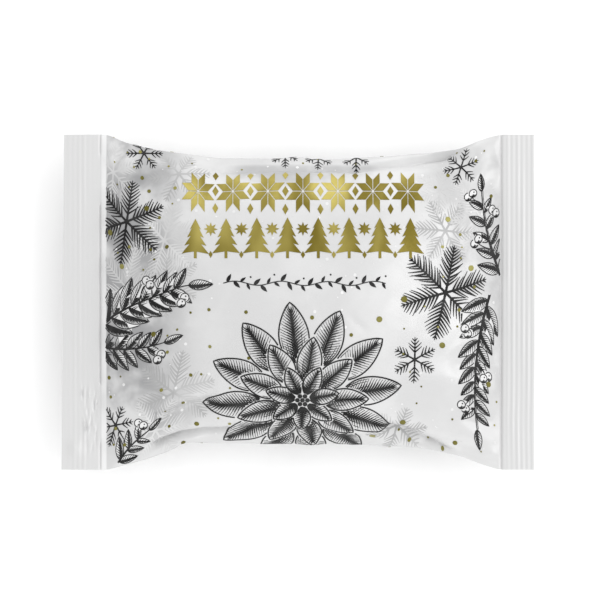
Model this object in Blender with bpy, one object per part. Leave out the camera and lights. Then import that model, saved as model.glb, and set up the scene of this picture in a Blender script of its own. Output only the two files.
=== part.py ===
"""A flow-wrapped cookie packet lying on its back, as one closed solid.

A tube of film is filled, then pressed flat and crimped at its two ends.  A fin seam closes the
tube along its back and is folded down.  The tube keeps its girth from end to end, so it is wide
and flat at the end seals, and narrower and deep in the middle.  Lengths are in millimetres until
place().  +X runs along the tube, +Y points to its far long edge, and it rests on Z = 0.
"""
import math

import bmesh
import bpy
import numpy as np

MM = 0.001

# The tube of film
BODY_LENGTH = 85.0              # between the fold lines of the end seals
FLAT_WIDTH = 71.0               # the tube pressed flat, as the end seals hold it
FILM_EDGE = 0.3                 # the two layers together, in the seals and along the long edges
SEAL_HEIGHT = 13.0              # of the end seals above the table
FRONT_RISE = 15.2               # from the seals up to the middle of the front
BACK_RISE = 13.7                # from the seals down to the middle of the back, before it rests
RISE_REACH = 42.0               # distance from a seal at which the full depth is reached
RISE_FILL = 2.5                 # higher values fill the ends more
RISE_ROUNDING = 0.72            # lower values lift the film more steeply off the seal
FLAT_BULGE = 1.0                # a section is lens-shaped beside the seals
FULL_BULGE = 0.56               # and nearly elliptical in the middle

# Each long edge draws in behind the seals: distance from the left seal and inset, corner by corner
FAR_EDGE = ((1.6, 0.0), (5.0, 1.6), (11.0, 3.1), (25.0, 5.0), (50.0, 5.2),
            (68.0, 4.1), (76.0, 3.1), (81.0, 1.0), (84.5, 0.0))
NEAR_EDGE = ((1.6, 0.0), (10.0, 2.3), (15.0, 4.1), (18.0, 5.8), (30.0, 5.6), (53.0, 5.5),
             (68.0, 4.7), (76.0, 3.0), (81.0, 1.1), (84.5, 0.0))
EDGE_SOFTNESS = 1.2             # half the length over which those corners are rounded off
EDGE_SAMPLES = 9

# End seals, from the fold line to the cut edge
LEFT_SEAL_NEAR = 8.3            # the left seal is cut a little askew
LEFT_SEAL_FAR = 7.7
RIGHT_SEAL = 6.9
LEFT_RIDGES = 8
RIGHT_RIDGES = 7
RIDGE_HEIGHT = 0.36             # crest to trough
PLAIN_SHARE = 0.1               # part of a seal's length left smooth beside the fold
LEFT_DROOP = math.radians(7)    # the left seal hangs a little below level
RIGHT_DROOP = math.radians(-3)  # and the right one stands above it
SEAL_WAVE = 0.45                # how far a seal waves out of its plane
SEAL_WAVE_TURN = 2.4            # half the wave's turn from edge to edge, in radians
SEAL_WAVE_START = 0.8
WAVE_REACH = 9.0                # how far that wave runs into the body

# Fin seam down the middle of the back, folded flat
FIN_WIDTH = 10.0
FIN_THICKNESS = 0.4
FIN_EDGE = 0.12                 # width of the step at its two edges

# Gathers that run into the body from the seals, and a soft groove inside both long edges
GATHER_DEPTH = 0.75
GATHER_REACH = 8.0              # distance over which they die out
GATHER_START = 2.0              # distance over which they grow from the seal
GATHER_TURN = 17.0              # half the turn of the main gathers from edge to edge, in radians
FINE_GATHER_TURN = 29.0
FINE_GATHER_SHARE = 0.5
GATHER_SHIFT = 1.3              # keeps the two ends, and front and back, from matching
RIM_INSET = 3.4                 # of the groove, measured round the film
RIM_DEPTH = 0.45
RIM_WIDTH = 1.6

# Creases in the front: start, end, depth and half width
CREASES = (
    ((-37.5, -34.0), (-18.0, -25.5), 0.8, 1.9),
    ((-22.0, -26.5), (6.0, -28.0), 0.45, 1.5),
    ((20.0, -28.5), (35.0, -30.5), 0.5, 1.5),
    ((42.5, 33.0), (36.0, 25.0), 0.6, 1.7),
    ((36.0, 25.0), (34.0, 10.0), 0.3, 1.8),
    ((-40.0, 33.0), (-31.0, 22.0), 0.7, 2.4),
    ((-31.0, 22.0), (-33.0, 4.0), 0.35, 3.0),
)
CREASE_FADE = 0.25              # share of its length over which a crease dies out at each end

# Mesh fineness
BODY_STATIONS = 42
FILM_CELLS = 30
END_CROWDING = 0.5              # 0 spaces the stations evenly, 1 crowds them at the seals
SECTION_SAMPLES = 240

FILM_COLOUR = (0.80, 0.80, 0.80, 1.0)
FILM_ROUGHNESS = 0.38
FILM_METALLIC = 0.25

LEFT_FOLD = (LEFT_SEAL_NEAR - BODY_LENGTH - RIGHT_SEAL) / 2
RIGHT_FOLD = LEFT_FOLD + BODY_LENGTH
FIN_LINE = FIN_WIDTH / FLAT_WIDTH       # the fin's edges, where the long edges are at -1 and 1


def ease(value):
    """Go smoothly from 0 to 1 as the value does."""
    held = np.clip(value, 0.0, 1.0)
    return held * held * (3.0 - 2.0 * held)


def rounded_line(points, x):
    """Follow straight runs between the points, with the corners rounded off."""
    places, insets = zip(*points)
    shifts = np.linspace(-EDGE_SOFTNESS, EDGE_SOFTNESS, EDGE_SAMPLES)
    return np.mean(np.interp(x + shifts, places, insets))


def seal_distance(x):
    """Give the distance into the body from the nearer seal, 0 on the seals themselves."""
    return np.maximum(0.0, np.minimum(x - LEFT_FOLD, RIGHT_FOLD - x))


def film_lines():
    """List the lines along the film, -1 and 1 at the long edges, in pairs at the fin's edges."""
    cell = 2.0 / FILM_CELLS
    step = 2.0 * FIN_EDGE / FLAT_WIDTH
    lines = list(np.linspace(-1.0, 1.0, FILM_CELLS + 1))
    for edge in (-FIN_LINE, FIN_LINE):
        lines = [line for line in lines if abs(line - edge) > cell / 3]
        lines += [edge, edge + math.copysign(step, edge)]
    return np.array(sorted(lines))


def fin_relief(side, lines):
    """Give the step that the folded fin makes on the back."""
    on_fin = np.abs(lines) < FIN_LINE + FIN_EDGE / FLAT_WIDTH
    return FIN_THICKNESS * on_fin if side < 0 else np.zeros(len(lines))


def section(x, side, lines):
    """Give y, height and the outward direction where one skin's lines cross the section at x."""
    far = FLAT_WIDTH / 2 - rounded_line(FAR_EDGE, x - LEFT_FOLD)
    near = rounded_line(NEAR_EDGE, x - LEFT_FOLD) - FLAT_WIDTH / 2
    short_of_full = 1.0 - np.minimum(1.0, seal_distance(x) / RISE_REACH)
    depth = (1.0 - short_of_full ** RISE_FILL) ** RISE_ROUNDING
    bulge = FLAT_BULGE + (FULL_BULGE - FLAT_BULGE) * depth
    rise = depth * (FRONT_RISE if side > 0 else BACK_RISE)
    across = np.sin(np.linspace(-math.pi / 2, math.pi / 2, SECTION_SAMPLES))
    y = (far + near) / 2 + (far - near) / 2 * across
    height = rise * (1.0 - across ** 2) ** bulge + FILM_EDGE / 2
    travelled = np.concatenate(([0.0], np.cumsum(np.hypot(np.diff(y), np.diff(height)))))
    wanted = (lines + 1.0) / 2 * travelled[-1]
    slope_y = np.interp(wanted, travelled, np.gradient(y))
    slope_z = np.interp(wanted, travelled, np.gradient(height))
    length = np.hypot(slope_y, slope_z)
    return (np.interp(wanted, travelled, y), np.interp(wanted, travelled, height),
            -slope_z / length, slope_y / length)


def crease_depth(x, y, crease):
    """Give how deep one crease is at points of the front."""
    (start_x, start_y), (end_x, end_y), depth, half_width = crease
    run_x, run_y = end_x - start_x, end_y - start_y
    length = math.hypot(run_x, run_y)
    along = ((x - start_x) * run_x + (y - start_y) * run_y) / length ** 2
    aside = ((y - start_y) * run_x - (x - start_x) * run_y) / length
    fade = ease(along / CREASE_FADE) * ease((1.0 - along) / CREASE_FADE)
    return depth * fade * np.exp(-(aside / half_width) ** 2)


def gathers(x, side, lines):
    """Give the gathers that run into the body from the nearer seal, none at the long edges."""
    inward = seal_distance(x)
    depth = GATHER_DEPTH * math.exp(-inward / GATHER_REACH) * ease(inward / GATHER_START)
    shift = GATHER_SHIFT * (side + math.copysign(2.0, x))
    waves = np.sin(GATHER_TURN * lines + shift)
    waves = waves + FINE_GATHER_SHARE * np.sin(FINE_GATHER_TURN * lines - shift)
    return depth * waves * (1.0 - lines ** 4)


def rim_groove(x, lines):
    """Give the soft groove that runs inside both long edges of the filled body."""
    depth = RIM_DEPTH * ease(seal_distance(x) / GATHER_REACH)
    inset = (1.0 - np.abs(lines)) * FLAT_WIDTH / 2
    return depth * np.exp(-((inset - RIM_INSET) / RIM_WIDTH) ** 2)


def seal_rise(x, lines):
    """Give the lift of the seals' mid surface: their lean, and a wave that fades into the body."""
    lean = np.minimum(0.0, x - LEFT_FOLD) * math.tan(LEFT_DROOP)
    lean = lean - np.maximum(0.0, x - RIGHT_FOLD) * math.tan(RIGHT_DROOP)
    wave = SEAL_WAVE * np.sin(SEAL_WAVE_TURN * lines + np.copysign(SEAL_WAVE_START, x))
    return lean + wave * (1.0 - ease(seal_distance(x) / WAVE_REACH))


def body_row(x, side, lines):
    """List the points of one skin of the body at x."""
    y, height, out_y, out_z = section(x, side, lines)
    out = gathers(x, side, lines) - rim_groove(x, lines) + fin_relief(side, lines)
    if side > 0:
        out = out - sum(crease_depth(x, y, crease) for crease in CREASES)
    z = SEAL_HEIGHT + seal_rise(x, lines) + side * (height + out * out_z)
    return list(zip(np.full(len(lines), x), y + out * out_y, np.maximum(0.0, z)))


def seal_row(fold, length, share, crimp, side, lines):
    """List the points of one skin of an end seal, a share of its length out from the fold."""
    x = fold + math.copysign(1.0, fold) * share * length
    thickness = FILM_EDGE / 2 + fin_relief(side, lines)
    z = SEAL_HEIGHT + seal_rise(x, lines) + crimp + side * thickness
    return list(zip(x, lines * FLAT_WIDTH / 2, z))


def seal_stations(ridges):
    """List the crests and troughs of a seal: share of its length, and height of the crimp."""
    halves = 2 * ridges
    shares = PLAIN_SHARE + (1.0 - PLAIN_SHARE) * np.arange(halves) / (halves - 1)
    return [(share, RIDGE_HEIGHT / 2 * (-1) ** index) for index, share in enumerate(shares)]


def body_stations():
    """List where the sections of the body are, closer together towards the seals."""
    even = np.linspace(0.0, 1.0, BODY_STATIONS + 1)
    crowded = (1.0 - np.cos(math.pi * even)) / 2
    return LEFT_FOLD + BODY_LENGTH * (even + END_CROWDING * (crowded - even))


def skin_rows(side, lines):
    """List the rows of points of one skin, from the left cut edge to the right one."""
    left_length = np.interp(lines, (-1.0, 1.0), (LEFT_SEAL_NEAR, LEFT_SEAL_FAR))
    right_length = np.full(len(lines), RIGHT_SEAL)
    rows = [seal_row(LEFT_FOLD, left_length, share, crimp, side, lines)
            for share, crimp in reversed(seal_stations(LEFT_RIDGES))]
    rows += [body_row(x, side, lines) for x in body_stations()]
    rows += [seal_row(RIGHT_FOLD, right_length, share, crimp, side, lines)
             for share, crimp in seal_stations(RIGHT_RIDGES)]
    return rows


def film_material():
    """Make the satin pale film."""
    material = bpy.data.materials.new("film")
    material.use_nodes = True
    shader = material.node_tree.nodes["Principled BSDF"]
    shader.inputs["Base Color"].default_value = FILM_COLOUR
    shader.inputs["Roughness"].default_value = FILM_ROUGHNESS
    shader.inputs["Metallic"].default_value = FILM_METALLIC
    return material


def place(vert, rows):
    """Move a vertex of a grid, which spans -1 to 1 both ways, to its place on the film."""
    row = round((vert.co.x + 1.0) / 2 * (len(rows) - 1))
    line = round((vert.co.y + 1.0) / 2 * (len(rows[0]) - 1))
    vert.co = [MM * value for value in rows[row][line]]


def make_packet(collection):
    """Shape a grid into each skin and join the two round their rim into one closed solid."""
    lines = film_lines()
    solid = bmesh.new()
    for side in (1, -1):
        rows = skin_rows(side, lines)
        grid = bmesh.ops.create_grid(solid, x_segments=len(rows) - 1,
                                     y_segments=len(lines) - 1, size=1.0)
        for vert in grid["verts"]:
            place(vert, rows)
    bmesh.ops.bridge_loops(solid, edges=[edge for edge in solid.edges if edge.is_boundary])
    bmesh.ops.recalc_face_normals(solid, faces=solid.faces)
    mesh = bpy.data.meshes.new("packet")
    solid.to_mesh(mesh)
    solid.free()
    mesh.shade_smooth()
    mesh.materials.append(film_material())
    collection.objects.link(bpy.data.objects.new("packet", mesh))


def main():
    for old in list(bpy.data.objects):
        bpy.data.objects.remove(old, do_unlink=True)
    collection = bpy.data.collections.new("cookie_packet")
    bpy.context.scene.collection.children.link(collection)
    make_packet(collection)


main()
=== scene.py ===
"""Looks of the flow-wrapped cookie packet: its crimped film, its back seam and its winter print.

Lengths are in millimetres up to the meshes, which are in metres as the frame is.  The print is laid
out on the film itself: p runs along the tube from the left seal's fold, and g runs round its girth,
0 on the middle line of the front and positive towards the far long edge.
"""
import math
import random

import bpy
import numpy as np
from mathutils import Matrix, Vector
from mathutils.geometry import delaunay_2d_cdt


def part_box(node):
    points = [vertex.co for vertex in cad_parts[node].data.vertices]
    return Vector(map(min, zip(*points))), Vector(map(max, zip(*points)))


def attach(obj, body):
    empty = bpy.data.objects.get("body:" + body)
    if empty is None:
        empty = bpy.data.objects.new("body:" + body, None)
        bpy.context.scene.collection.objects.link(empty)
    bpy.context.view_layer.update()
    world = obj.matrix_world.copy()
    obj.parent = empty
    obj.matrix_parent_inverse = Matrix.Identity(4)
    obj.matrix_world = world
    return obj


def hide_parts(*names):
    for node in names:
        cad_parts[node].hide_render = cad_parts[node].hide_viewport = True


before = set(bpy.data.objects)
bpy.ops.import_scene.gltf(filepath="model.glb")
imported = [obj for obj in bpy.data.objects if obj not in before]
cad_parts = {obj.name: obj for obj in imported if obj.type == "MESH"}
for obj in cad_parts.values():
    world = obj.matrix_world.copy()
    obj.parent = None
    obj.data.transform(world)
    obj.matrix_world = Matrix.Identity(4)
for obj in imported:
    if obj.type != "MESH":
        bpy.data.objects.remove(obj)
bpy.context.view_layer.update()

MM = 0.001
box_low, box_high = (Vector(corner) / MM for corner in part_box("packet"))

# The filled tube, as the solid has it
FLAT_WIDTH = box_high.y - box_low.y
LEFT_SEAL_NEAR = 8.3
LEFT_SEAL_FAR = 7.7
RIGHT_SEAL = 6.9
BODY_LENGTH = box_high.x - box_low.x - LEFT_SEAL_NEAR - RIGHT_SEAL
LEFT_FOLD = box_low.x + LEFT_SEAL_NEAR
RIGHT_FOLD = LEFT_FOLD + BODY_LENGTH
SEAL_HEIGHT = 13.0
FRONT_RISE = box_high.z - SEAL_HEIGHT - 0.15
BACK_RISE = 13.7
RISE_REACH = 42.0
RISE_FILL = 2.5
RISE_ROUNDING = 0.72
FLAT_BULGE = 1.0
FULL_BULGE = 0.56
FAR_EDGE = ((1.6, 0.0), (5.0, 1.6), (11.0, 3.1), (25.0, 5.0), (50.0, 5.2),
            (68.0, 4.1), (76.0, 3.1), (81.0, 1.0), (84.5, 0.0))
NEAR_EDGE = ((1.6, 0.0), (10.0, 2.3), (15.0, 4.1), (18.0, 5.8), (30.0, 5.6), (53.0, 5.5),
             (68.0, 4.7), (76.0, 3.0), (81.0, 1.1), (84.5, 0.0))
EDGE_SOFTNESS = 1.2
SOFT_START = 0.8                # flatter run where the film leaves a seal
EDGE_SAMPLES = 9
SECTION_SAMPLES = 400
LEFT_DROOP = math.radians(7)
RIGHT_DROOP = math.radians(-3)
SEAL_WAVE = 0.45
SEAL_WAVE_TURN = 2.4
SEAL_WAVE_START = 0.8
WAVE_REACH = 9.0
GATHER_DEPTH = 0.75
GATHER_REACH = 8.0
GATHER_START = 2.0
GATHER_TURN = 17.0
FINE_GATHER_TURN = 29.0
FINE_GATHER_SHARE = 0.5
GATHER_SHIFT = 1.3
RIM_INSET = 3.4
RIM_DEPTH = 0.45
RIM_WIDTH = 1.6
# Creases in the front, as routes seen from above, with depth and half width
CREASES = (
    (((-31.8, -31.3), (-28.4, -29.7), (-25.0, -28.4), (-20.6, -27.7), (-13.0, -27.2)), 1.6, 0.6),
    (((-32.0, -25.4), (-28.4, -24.4), (-23.0, -22.6), (-16.0, -20.4)), 1.4, 1.6),
    (((-16.0, -26.3), (-4.0, -27.6), (9.0, -27.9)), 0.55, 1.0),
    (((17.0, -26.6), (22.4, -27.8), (26.1, -29.7), (31.3, -32.2), (35.0, -34.0)), 2.3, 1.2),
    (((-18.0, 28.4), (-2.0, 28.2), (14.0, 28.5)), 0.8, 0.9),
    (((10.0, 28.3), (19.6, 29.6), (25.3, 30.6), (31.2, 31.4), (33.8, 32.5), (37.5, 35.2)), 1.4, 0.8),
    (((42.4, 32.0), (37.0, 25.0), (34.5, 16.0), (34.0, 8.0)), 0.6, 1.4),
    (((41.6, 27.5), (38.5, 23.5), (37.6, 19.0)), 0.5, 0.8),
    (((-39.8, 27.0), (-37.6, 31.0), (-35.0, 34.0)), 0.9, 0.9),
    (((-40.5, 24.0), (-33.0, 25.5), (-26.0, 28.5)), 0.8, 1.5),
    (((-40.0, 12.0), (-33.0, 10.0), (-26.0, 12.5)), 0.5, 2.0),
    (((-40.3, -14.0), (-34.0, -15.5), (-28.0, -14.0)), 0.5, 1.6),
    (((42.4, -12.0), (37.0, -14.0), (31.0, -13.0)), 0.45, 1.4),
    (((42.4, -25.0), (37.5, -25.5), (33.0, -23.5)), 0.5, 1.0),
)
CREASE_FADE = 3.0               # length over which a crease dies out at each end
WRINKLES = 46                   # short fine wrinkles, most of them near the seals
WRINKLE_DEPTH = 0.13
WRINKLE_WIDTH = 0.7
SIDE_FOLD_DEPTH = 0.28          # short folds across the long edges
SIDE_FOLD_REACH = 0.24          # as a share of the half width
DENT_DEPTH = 0.35               # soft dents all over

# What the film shows beyond the solid
FILM = 0.06                     # one layer of film
CRIMP_PITCH = 1.05
CRIMP_DEPTH = 0.11
FOLD_GROOVE = 0.3               # pressed line where a seal begins
FOLD_GROOVE_WIDTH = 0.22
FOLD_GAPS = ((20.6, 31.2), (-29.6, -17.3))   # where the line at the left seal fades out
SEAL_BUMP = (-47.2, -30.9)      # a small bulge pushed up in the left seal
SEAL_BUMP_SIZE = (1.4, 1.7)
SEAL_BUMP_HEIGHT = 0.7
SEAL_STREAKS = 34               # short pressed marks in the left seal, towards its near end
CRIMP_START = 1.35              # of the first rib, from the fold
LEFT_RIBS = (0.1, 0.3, 0.9, 1.0, 0.8, 0.35, 0.25)
RIGHT_RIBS = (0.75, 0.92, 0.88, 1.05, 0.88, 0.8)
STATIONS_PER_PITCH = 6
BODY_STATIONS = 240
STATION_CROWDING = 0.55         # closer stations near the seals, 0 for even ones
LINES = 143                     # lines of the grid along each skin
FIN_WIDTH = 10.0
FIN_THICKNESS = 0.3
FIN_LINES = 49
FIN_RIBS = 6
FIN_GAP = 0.02                  # between the folded seam and the film under it
FIN_WAVE = 0.25                 # how far the cut edge of the seam wanders


def ease(value):
    """Go smoothly from 0 to 1 as the value does."""
    held = np.clip(value, 0.0, 1.0)
    return held * held * (3.0 - 2.0 * held)


def rounded_line(points, x):
    """Follow straight runs between the points, with the corners rounded off."""
    places, insets = zip(*points)
    shifts = np.linspace(-EDGE_SOFTNESS, EDGE_SOFTNESS, EDGE_SAMPLES)
    return np.mean(np.interp(x + shifts, places, insets))


def seal_distance(x):
    """Give the distance into the body from the nearer seal, 0 on the seals themselves."""
    return np.maximum(0.0, np.minimum(x - LEFT_FOLD, RIGHT_FOLD - x))


def section(x, side, lines):
    """Give y, height and the outward direction where one skin's lines cross the section at x."""
    far = FLAT_WIDTH / 2 - rounded_line(FAR_EDGE, x - LEFT_FOLD)
    near = rounded_line(NEAR_EDGE, x - LEFT_FOLD) - FLAT_WIDTH / 2
    inward = seal_distance(x)
    inward = inward * inward / (inward + SOFT_START + 1e-9)
    short_of_full = 1.0 - np.minimum(1.0, inward / RISE_REACH)
    depth = (1.0 - short_of_full ** RISE_FILL) ** RISE_ROUNDING
    bulge = FLAT_BULGE + (FULL_BULGE - FLAT_BULGE) * depth
    rise = depth * (FRONT_RISE if side > 0 else BACK_RISE)
    across = np.sin(np.linspace(-math.pi / 2, math.pi / 2, SECTION_SAMPLES))
    y = (far + near) / 2 + (far - near) / 2 * across
    height = rise * (1.0 - across ** 2) ** bulge + FILM
    travelled = np.concatenate(([0.0], np.cumsum(np.hypot(np.diff(y), np.diff(height)))))
    wanted = (lines + 1.0) / 2 * travelled[-1]
    slope_y = np.interp(wanted, travelled, np.gradient(y))
    slope_z = np.interp(wanted, travelled, np.gradient(height))
    length = np.hypot(slope_y, slope_z)
    return (np.interp(wanted, travelled, y), np.interp(wanted, travelled, height),
            -slope_z / length, slope_y / length)


def crease_depth(x, y, route, depth, half_width):
    """Give how deep one crease is at points of the film seen from above."""
    route = np.asarray(route)
    best = np.full(len(y), 1e9)
    reached = np.zeros(len(y))
    before = 0.0
    for start, end in zip(route[:-1], route[1:]):
        run = end - start
        length = np.hypot(*run)
        share = np.clip(((x - start[0]) * run[0] + (y - start[1]) * run[1]) / length ** 2, 0.0, 1.0)
        away = np.hypot(x - start[0] - share * run[0], y - start[1] - share * run[1])
        nearer = away < best
        best = np.where(nearer, away, best)
        reached = np.where(nearer, before + share * length, reached)
        before += length
    fade = ease(reached / CREASE_FADE) * ease((before - reached) / CREASE_FADE)
    return depth * fade * np.exp(-(best / half_width) ** 2)


def draw_wrinkles():
    """Draw the short wrinkles of the film from a seeded random: route, depth and half width."""
    rng = random.Random(31)
    wrinkles = []
    for index in range(WRINKLES):
        end = rng.choice((-1, 1))
        x = end * rng.uniform(24.0, 40.0) if index % 3 else rng.uniform(-24.0, 24.0)
        y = rng.uniform(-27.0, 27.0)
        heading = rng.gauss(0.0, 0.5) if index % 3 else rng.uniform(0.0, math.pi)
        half = rng.uniform(3.0, 6.5)
        run = np.array((math.cos(heading), math.sin(heading))) * half
        bow = np.array((-run[1], run[0])) * rng.uniform(-0.25, 0.25)
        middle = np.array((x, y))
        wrinkles.append(((middle - run, middle + bow, middle + run),
                         WRINKLE_DEPTH * rng.uniform(-0.8, 1.3), WRINKLE_WIDTH * rng.uniform(0.8, 1.5)))
    return wrinkles


def draw_waves(seed, count, shortest, longest):
    """Draw waves of random direction, length and start, for soft uneven relief."""
    rng = random.Random(seed)
    waves = []
    for _ in range(count):
        heading = rng.uniform(0.0, math.pi)
        turn = 2 * math.pi / rng.uniform(shortest, longest)
        waves.append((turn * math.cos(heading), turn * math.sin(heading), rng.uniform(0.0, 2 * math.pi)))
    return waves


WRINKLE_ROUTES = draw_wrinkles()
DENT_WAVES = {1: draw_waves(3, 7, 18.0, 40.0), -1: draw_waves(4, 7, 18.0, 40.0)}
FINE_WAVES = {1: draw_waves(5, 9, 5.0, 9.0), -1: draw_waves(6, 9, 5.0, 9.0)}


def waves_at(x, y, waves):
    """Add the waves up at points, to about -1 to 1."""
    total = sum(np.sin(turn_x * x + turn_y * y + start) for turn_x, turn_y, start in waves)
    return total / math.sqrt(len(waves))


def gathers(x, side, lines):
    """Give the gathers that run into the body from the nearer seal, none at the long edges."""
    inward = seal_distance(x)
    depth = GATHER_DEPTH * math.exp(-inward / GATHER_REACH) * ease(inward / GATHER_START)
    shift = GATHER_SHIFT * (side + math.copysign(2.0, x))
    waves = np.sin(GATHER_TURN * lines + shift)
    waves = waves + FINE_GATHER_SHARE * np.sin(FINE_GATHER_TURN * lines - shift)
    return depth * waves * (1.0 - lines ** 4)


def rim_groove(x, lines):
    """Give the soft groove that runs inside both long edges of the filled body."""
    depth = RIM_DEPTH * ease(seal_distance(x) / GATHER_REACH)
    inset = (1.0 - np.abs(lines)) * FLAT_WIDTH / 2
    return depth * np.exp(-((inset - RIM_INSET) / RIM_WIDTH) ** 2)


def seal_rise(x, lines):
    """Give the lift of the seals' mid surface: their lean, and a wave that fades into the body."""
    lean = np.minimum(0.0, x - LEFT_FOLD) * math.tan(LEFT_DROOP)
    lean = lean - np.maximum(0.0, x - RIGHT_FOLD) * math.tan(RIGHT_DROOP)
    wave = SEAL_WAVE * np.sin(SEAL_WAVE_TURN * lines + np.copysign(SEAL_WAVE_START, x))
    return lean + wave * (1.0 - ease(seal_distance(x) / WAVE_REACH))


def side_folds(x, side, lines):
    """Give the short folds that cross the long edges of the filled body."""
    near_edge = ease((np.abs(lines) - 1.0 + SIDE_FOLD_REACH) / SIDE_FOLD_REACH)
    wave = waves_at(x, np.sign(lines) * 20.0, FINE_WAVES[side])
    return SIDE_FOLD_DEPTH * near_edge * wave * ease(seal_distance(x) / GATHER_REACH)


def fold_groove(x, distance, y):
    """Give the depth of the pressed line where a seal begins."""
    depth = FOLD_GROOVE * np.exp(-(distance / FOLD_GROOVE_WIDTH) ** 2)
    for low, high in FOLD_GAPS:
        faded = ease((y - low + 0.5) / 1.5) * ease((high + 0.5 - y) / 1.5)
        depth = depth * np.where(x < 0, 1.0 - 0.9 * faded, 1.0)
    return depth


def crimp(distance, ribs, lines):
    """Give the height of the crimp at a distance out from the fold; it is uneven along the ribs."""
    distance = distance + 0.1 * np.sin(7.0 * lines) * ease((-lines - 0.45) / 0.3)
    total = np.zeros(len(distance))
    for index, strength in enumerate(ribs):
        away = np.clip((distance - CRIMP_START) / CRIMP_PITCH - index, -0.5, 0.5)
        uneven = 1.0 + 0.3 * np.sin(3.1 * lines + 2.3 * index) + 0.2 * np.sin(8.3 * lines + 1.1 * index)
        total += strength * uneven * CRIMP_DEPTH * np.cos(math.pi * away) ** 2
    return total


def draw_streaks():
    """Draw the short pressed marks of the left seal: place, half length, lean and height."""
    rng = random.Random(12)
    return [(LEFT_FOLD - rng.uniform(0.8, 4.2), rng.uniform(-32.0, -19.0), rng.uniform(0.8, 2.2),
             rng.gauss(0.0, 0.12), rng.choice((-0.2, 0.2))) for _ in range(SEAL_STREAKS)]


STREAKS = draw_streaks()


def seal_marks(x, y):
    """Give the height of the bulge and the streaks in the left seal."""
    total = SEAL_BUMP_HEIGHT * np.exp(-((x - SEAL_BUMP[0]) / SEAL_BUMP_SIZE[0]) ** 2
                                      - ((y - SEAL_BUMP[1]) / SEAL_BUMP_SIZE[1]) ** 2)
    for centre_x, centre_y, half_length, lean, height in STREAKS:
        away = (x - centre_x - lean * (y - centre_y)) / 0.2
        total = total + height * np.exp(-away ** 2 - ((y - centre_y) / half_length) ** 2)
    return total


def body_row(x, side, lines):
    """Give the points of one skin of the body at x."""
    y, height, out_y, out_z = section(x, side, lines)
    out = gathers(x, side, lines) - rim_groove(x, lines) + side_folds(x, side, lines)
    out = out + DENT_DEPTH * waves_at(x, y, DENT_WAVES[side]) * ease(seal_distance(x) / 12.0)
    fine = GATHER_DEPTH * 0.25 * math.exp(-seal_distance(x) / 4.0) * ease(seal_distance(x) / 1.5)
    out = out + fine * waves_at(x * 0.4, y * 1.8, FINE_WAVES[side])
    if side > 0:
        for route, depth, half_width in (*CREASES, *WRINKLE_ROUTES):
            out = out - crease_depth(x, y, route, depth, half_width)
    else:
        for route, depth, half_width in WRINKLE_ROUTES:
            out = out - crease_depth(x, -y, route, depth, half_width)
    out = out * ease((1.0 - np.abs(lines)) * 25.0)
    z = SEAL_HEIGHT + seal_rise(x, lines) + side * (height + out * out_z)
    z = z - fold_groove(x, seal_distance(x), y)
    return np.column_stack((np.full(len(lines), x), y + out * out_y, np.maximum(FIN_THICKNESS, z)))


def seal_row(fold, length, share, ribs, side, lines):
    """Give the points of one skin of an end seal, a share of its length out from the fold."""
    distance = share * length
    x = fold + math.copysign(1.0, fold) * distance
    y = lines * FLAT_WIDTH / 2
    z = SEAL_HEIGHT + seal_rise(x, lines) + crimp(distance, ribs, lines) + side * FILM
    z = z - fold_groove(x, distance, y) + seal_marks(x, y)
    return np.column_stack((x, y, z))


def skin_rows(side, lines):
    """Give the grid of points of one skin, row by row from the left cut edge to the right one."""
    left_length = np.interp(lines, (-1.0, 1.0), (LEFT_SEAL_NEAR, LEFT_SEAL_FAR))
    right_length = np.full(len(lines), RIGHT_SEAL)
    left_steps = round(LEFT_SEAL_NEAR / CRIMP_PITCH * STATIONS_PER_PITCH)
    right_steps = round(RIGHT_SEAL / CRIMP_PITCH * STATIONS_PER_PITCH)
    rows = [seal_row(LEFT_FOLD, left_length, step / left_steps, LEFT_RIBS, side, lines)
            for step in range(left_steps, 0, -1)]
    share = np.linspace(0.0, 1.0, BODY_STATIONS + 1)
    share = share - STATION_CROWDING * np.sin(2 * math.pi * share) / (2 * math.pi)
    rows += [body_row(x, side, lines) for x in LEFT_FOLD + BODY_LENGTH * share]
    rows += [seal_row(RIGHT_FOLD, right_length, step / right_steps, RIGHT_RIBS, side, lines)
             for step in range(1, right_steps + 1)]
    return np.array(rows)


def ring_rows():
    """Give the whole film: each row goes along the front, then back along the underside."""
    lines = np.linspace(-1.0, 1.0, LINES)
    front = skin_rows(1, lines)
    back = skin_rows(-1, lines)[:, ::-1]
    return np.concatenate((front, back), axis=1)


def new_piece(name, points, faces, material):
    """Make a shown piece that moves with the packet."""
    mesh = bpy.data.meshes.new(name)
    mesh.from_pydata([tuple(point * MM) for point in points], [], faces)
    mesh.materials.append(material)
    mesh.shade_smooth()
    piece = bpy.data.objects.new(name, mesh)
    bpy.context.scene.collection.objects.link(piece)
    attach(piece, "root")
    return piece


def make_film(rows, material):
    """Skin the rings and close both cut edges."""
    count, around = rows.shape[:2]
    faces = []
    for row in range(count - 1):
        for step in range(around):
            after = (step + 1) % around
            faces.append((row * around + step, (row + 1) * around + step,
                          (row + 1) * around + after, row * around + after))
    half = around // 2
    for row, ends in ((0, 1), (count - 1, -1)):
        base = row * around
        for step in range(half - 1):
            strip = (base + step, base + step + 1, base + around - 2 - step, base + around - 1 - step)
            faces.append(strip[::ends])
    film = new_piece("film", rows.reshape(-1, 3), faces, material)
    film.data.set_sharp_from_angle(angle=math.radians(50))
    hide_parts("packet")
    return film


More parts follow.
